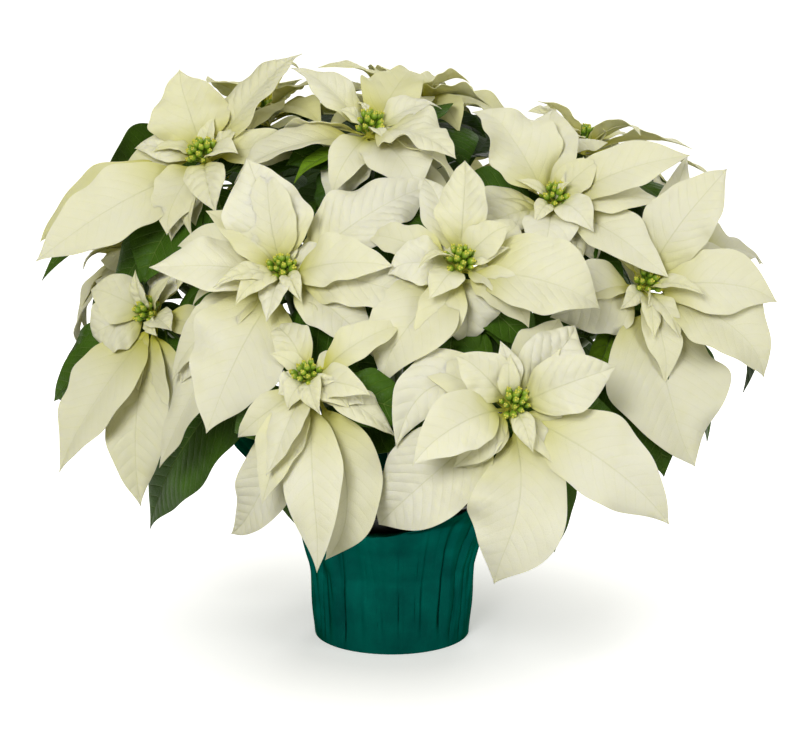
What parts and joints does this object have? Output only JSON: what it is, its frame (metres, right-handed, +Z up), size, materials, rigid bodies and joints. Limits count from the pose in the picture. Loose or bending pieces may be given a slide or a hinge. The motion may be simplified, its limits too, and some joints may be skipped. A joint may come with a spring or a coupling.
{
  "type": "potted poinsettia",
  "caption": "Bushy cream-white poinsettia with dark green leaves, in a dark nursery pot inside a pleated green pot cover with a flared collar.",
  "frame": {"origin": "centre of the pot cover's flat underside", "axes": "+Z up, -Y towards the viewer, +X to the viewer's right"},
  "size_m": [0.588, 0.5103, 0.4676],
  "materials": {
    "green_film": "thin crinkled plastic film with a metallic sheen",
    "dark_plastic": "matt moulded plastic",
    "soil": "loose moist peat and bark",
    "green_leaf": "satin leaf with paler veins",
    "cream_bract": "soft matt bract with fine veins",
    "bud_green": "waxy bud"
  },
  "bodies": {
    "root": {"pot_cover": "green_film", "nursery_pot": "dark_plastic", "potting_soil": "soil", "left_plant": "green_leaf", "right_plant": "green_leaf", "back_plant": "green_leaf", "front_right_bracts": "cream_bract", "front_right_flower_head": "bud_green", "front_left_bracts": "cream_bract", "front_left_flower_head": "bud_green", "middle_left_bracts": "cream_bract", "middle_left_flower_head": "bud_green", "middle_bracts": "cream_bract", "middle_flower_head": "bud_green", "right_bracts": "cream_bract", "right_flower_head": "bud_green", "upper_right_bracts": "cream_bract", "upper_right_flower_head": "bud_green", "top_bracts": "cream_bract", "top_flower_head": "bud_green", "upper_left_bracts": "cream_bract", "upper_left_flower_head": "bud_green", "left_bracts": "cream_bract", "left_flower_head": "bud_green", "back_top_bracts": "cream_bract", "back_top_flower_head": "bud_green", "back_left_bracts": "cream_bract", "back_left_flower_head": "bud_green", "back_right_bracts": "cream_bract", "back_right_flower_head": "bud_green", "far_right_bracts": "cream_bract", "far_right_flower_head": "bud_green", "far_left_bracts": "cream_bract", "far_left_flower_head": "bud_green", "rear_left_bracts": "cream_bract", "rear_left_flower_head": "bud_green", "rear_middle_bracts": "cream_bract", "rear_middle_flower_head": "bud_green", "rear_right_bracts": "cream_bract", "rear_right_flower_head": "bud_green"}
  },
  "joints": []
}
